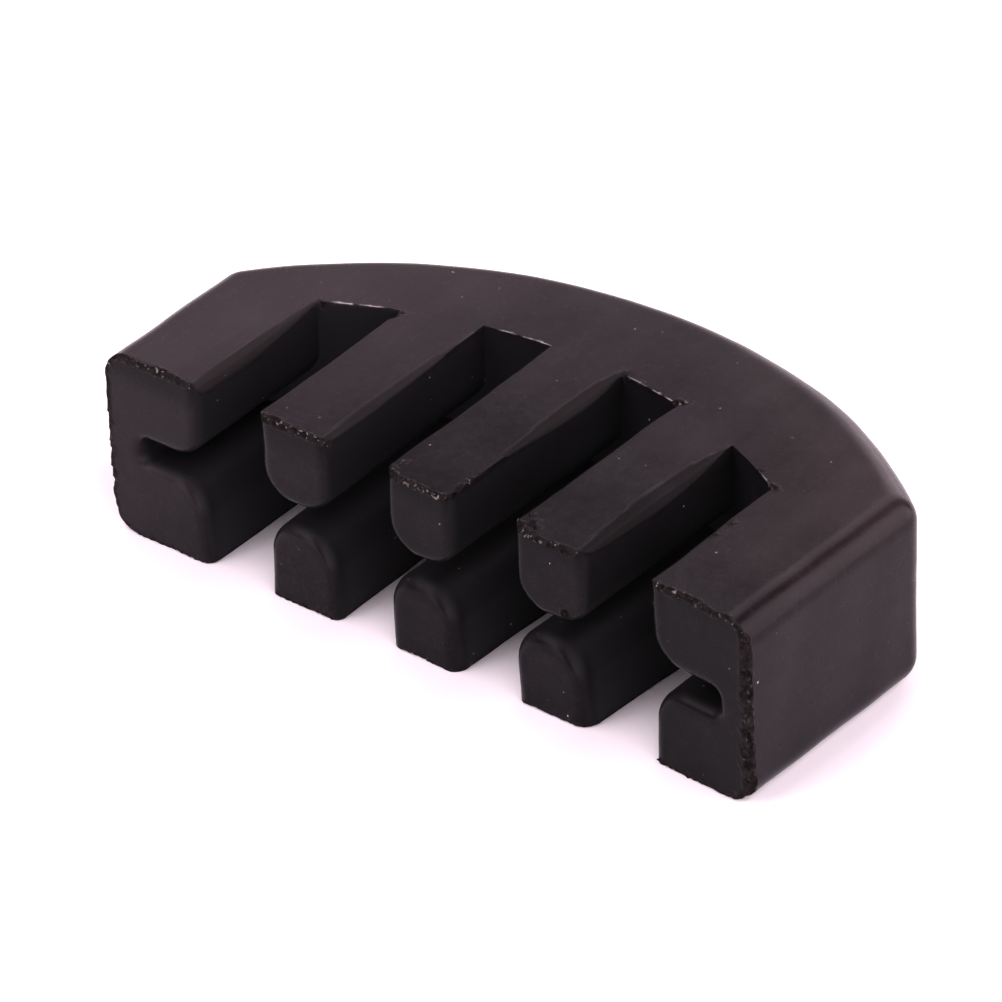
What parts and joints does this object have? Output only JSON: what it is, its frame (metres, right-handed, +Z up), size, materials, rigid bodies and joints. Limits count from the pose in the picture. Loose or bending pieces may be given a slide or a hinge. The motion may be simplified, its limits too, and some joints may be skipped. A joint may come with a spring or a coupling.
{
  "type": "violin practice mute",
  "caption": "Arched block of black rubber with split prongs that slips down over a violin bridge, one string in each gap, to quieten it for practice.",
  "frame": {"origin": "centre of the bounding box, at the underside", "axes": "+X along the block from its shallower end to its deeper one, +Y from the prong tips to the arched back, +Z up through the thickness"},
  "size_m": [0.05, 0.0252, 0.013],
  "materials": {
    "rubber": "satin moulded, faintly mottled"
  },
  "bodies": {
    "root": {"mute_body": "rubber"}
  },
  "joints": []
}
